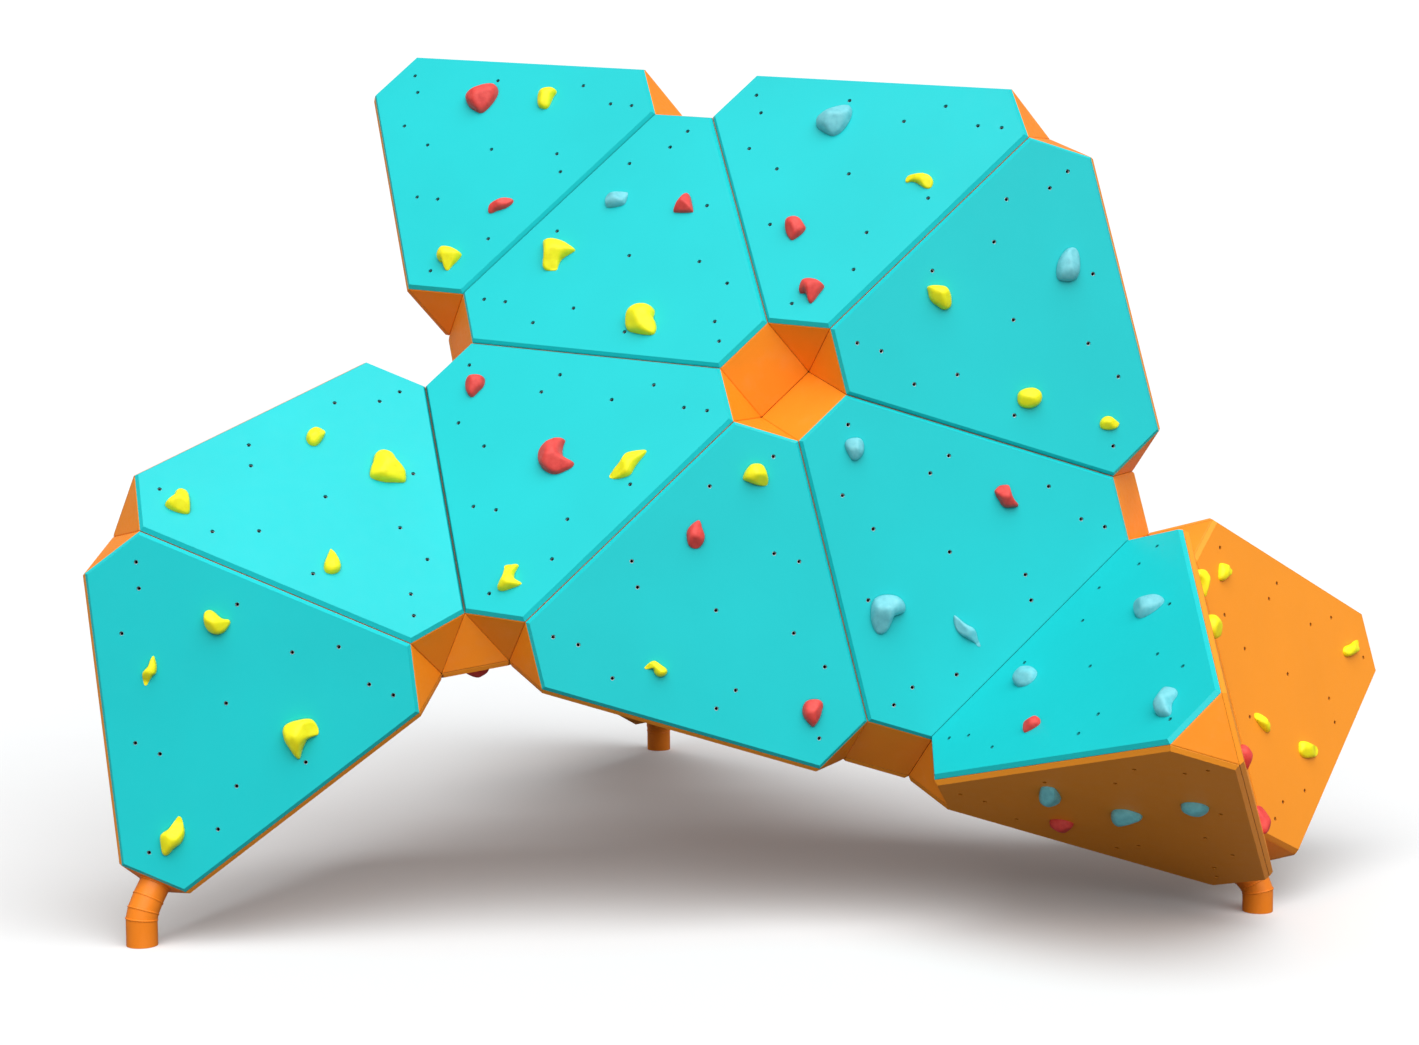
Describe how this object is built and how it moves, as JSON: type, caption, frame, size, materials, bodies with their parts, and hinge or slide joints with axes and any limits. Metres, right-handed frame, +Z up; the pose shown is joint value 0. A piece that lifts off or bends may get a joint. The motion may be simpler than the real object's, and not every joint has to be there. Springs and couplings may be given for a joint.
{
  "type": "rock climbing wall",
  "caption": "Free-standing play climbing wall of bolted steel cells with bevelled panels, bolt-on holds and three mitred tube feet.",
  "frame": {"origin": "centre of the left foot's base, on the ground", "axes": "+Z up; +X along the ground from the left foot to the right foot; +Y towards the rear foot, away from the teal front panels"},
  "size_m": [4.5298, 4.2835, 2.9507],
  "materials": {
    "teal_panel": "satin sheet with a fine grained skin and bevelled edges",
    "orange_panel": "satin sheet with a fine grained skin and bevelled edges",
    "frame_orange": "powder coat, satin",
    "foot_orange": "powder coat over mitred welds",
    "zinc_steel": "zinc plated",
    "hold_yellow": "cast resin, fine grit",
    "hold_red": "cast resin, fine grit",
    "hold_blue": "cast resin, fine grit"
  },
  "bodies": {
    "root": {"panel_top_left": "teal_panel", "panel_upper_centre": "teal_panel", "panel_top_right": "teal_panel", "panel_right": "teal_panel", "panel_centre_right": "teal_panel", "panel_centre_low": "teal_panel", "panel_centre_left": "teal_panel", "panel_left": "teal_panel", "panel_left_low": "teal_panel", "panel_right_low": "teal_panel", "panel_side_edge": "orange_panel", "panel_side_right": "orange_panel", "panel_underside": "orange_panel", "rear_panels_top_left": "orange_panel", "rear_panels_upper_centre": "orange_panel", "rear_panel_top_right": "orange_panel", "rear_panel_right": "orange_panel", "rear_panels_lower_centre": "orange_panel", "rear_panel_centre_low": "orange_panel", "rear_panels_left_inner": "orange_panel", "rear_panel_left": "orange_panel", "rear_panels_left_low": "orange_panel", "rear_panel_right_low": "orange_panel", "rear_panels_side_right": "orange_panel", "leg_panels_1": "orange_panel", "leg_panels_2": "orange_panel", "leg_panels_3": "orange_panel", "leg_panels_4": "orange_panel", "frame_top_left": "frame_orange", "frame_upper_centre": "frame_orange", "frame_top_right": "frame_orange", "frame_right": "frame_orange", "frame_lower_centre": "frame_orange", "frame_centre_low": "frame_orange", "frame_centre_left": "frame_orange", "frame_left_inner": "frame_orange", "frame_left": "frame_orange", "frame_left_low": "frame_orange", "frame_right_inner": "frame_orange", "frame_right_low": "frame_orange", "frame_side_right": "frame_orange", "frame_leg_1": "frame_orange", "frame_leg_2": "frame_orange", "frame_leg_3": "frame_orange", "frame_leg_4": "frame_orange", "foot_tube_left": "foot_orange", "foot_tube_right": "foot_orange", "foot_tube_rear": "foot_orange", "foot_end_plates": "zinc_steel", "foot_bolts": "zinc_steel", "foot_nuts": "zinc_steel", "panel_screws": "zinc_steel", "frame_bolts": "zinc_steel", "frame_nuts": "zinc_steel", "t_nuts": "zinc_steel", "hold_bolts": "zinc_steel", "holds_yellow": "hold_yellow", "holds_red": "hold_red", "holds_blue": "hold_blue"}
  },
  "joints": []
}
